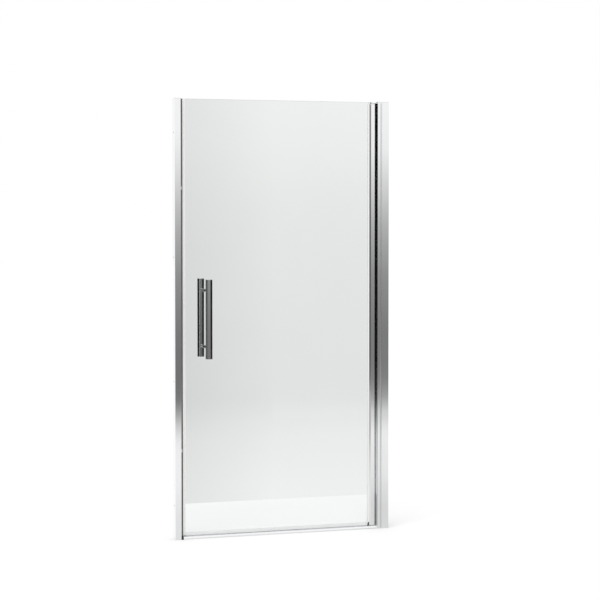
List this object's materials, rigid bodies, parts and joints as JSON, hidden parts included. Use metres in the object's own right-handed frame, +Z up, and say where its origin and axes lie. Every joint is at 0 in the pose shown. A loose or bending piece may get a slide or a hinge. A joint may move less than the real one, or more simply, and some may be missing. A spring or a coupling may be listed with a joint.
{
  "type": "pivot shower door",
  "caption": "Recess shower door with a clear glass leaf that pivots outwards on a chrome stile, with jambs, sill, magnetic catch and back-to-back bar handle.",
  "frame": {"origin": "on the tray, midway between the two walls, in the middle plane of the closed glass", "axes": "+X towards the hinge side, to the right seen from outside; +Y into the shower; +Z up"},
  "size_m": [1, 0.18, 1.95],
  "materials": {
    "bright_aluminium": "polished and bright anodised, like chrome",
    "plated_plastic": "chrome plated",
    "chrome": "polished",
    "clear_glass": "polished, toughened",
    "stainless": "turned",
    "black_rubber": "matte",
    "grey_seal": "satin",
    "magnet": "satin",
    "black_nylon": "moulded",
    "white_acetal": "moulded",
    "white_gasket": "satin",
    "clear_seal": "clear extruded"
  },
  "bodies": {
    "frame": {"strike_wall_channel": "bright_aluminium", "hinge_wall_channel": "bright_aluminium", "strike_jamb": "bright_aluminium", "hinge_post": "bright_aluminium", "strike_jamb_screws": "stainless", "screw_cover_caps": "plated_plastic", "hinge_post_screws": "stainless", "strike_magnet_carrier": "grey_seal", "strike_magnet": "magnet", "strike_top_cap": "plated_plastic", "hinge_top_cap": "plated_plastic", "wiper_gasket": "clear_seal", "threshold_sill": "bright_aluminium", "sill_end_block": "black_rubber", "top_pivot_arm": "chrome", "bottom_pivot_block": "chrome", "pivot_pins": "stainless", "pivot_bracket_screws": "stainless"},
    "leaf": {"glass_panel": "clear_glass", "pivot_stile": "bright_aluminium", "stile_end_plugs": "white_acetal", "pivot_bushes": "white_acetal", "glass_corner_support": "black_nylon", "glazing_gasket": "white_gasket", "edge_seal": "white_gasket", "leaf_magnet_strip": "magnet", "drip_seal": "clear_seal", "outer_handle_bar": "chrome", "inner_handle_bar": "chrome", "handle_end_plugs": "chrome", "outer_handle_posts": "chrome", "inner_handle_posts": "chrome", "handle_studs": "stainless", "glass_hole_sleeves": "clear_seal"}
  },
  "joints": [
    {"name": "leaf_pivot", "type": "hinge", "parent": "frame", "child": "leaf", "pos_m": [0.4284, 0, 0.975], "axis": [0, 0, 1], "range_deg": [0, 100]}
  ]
}
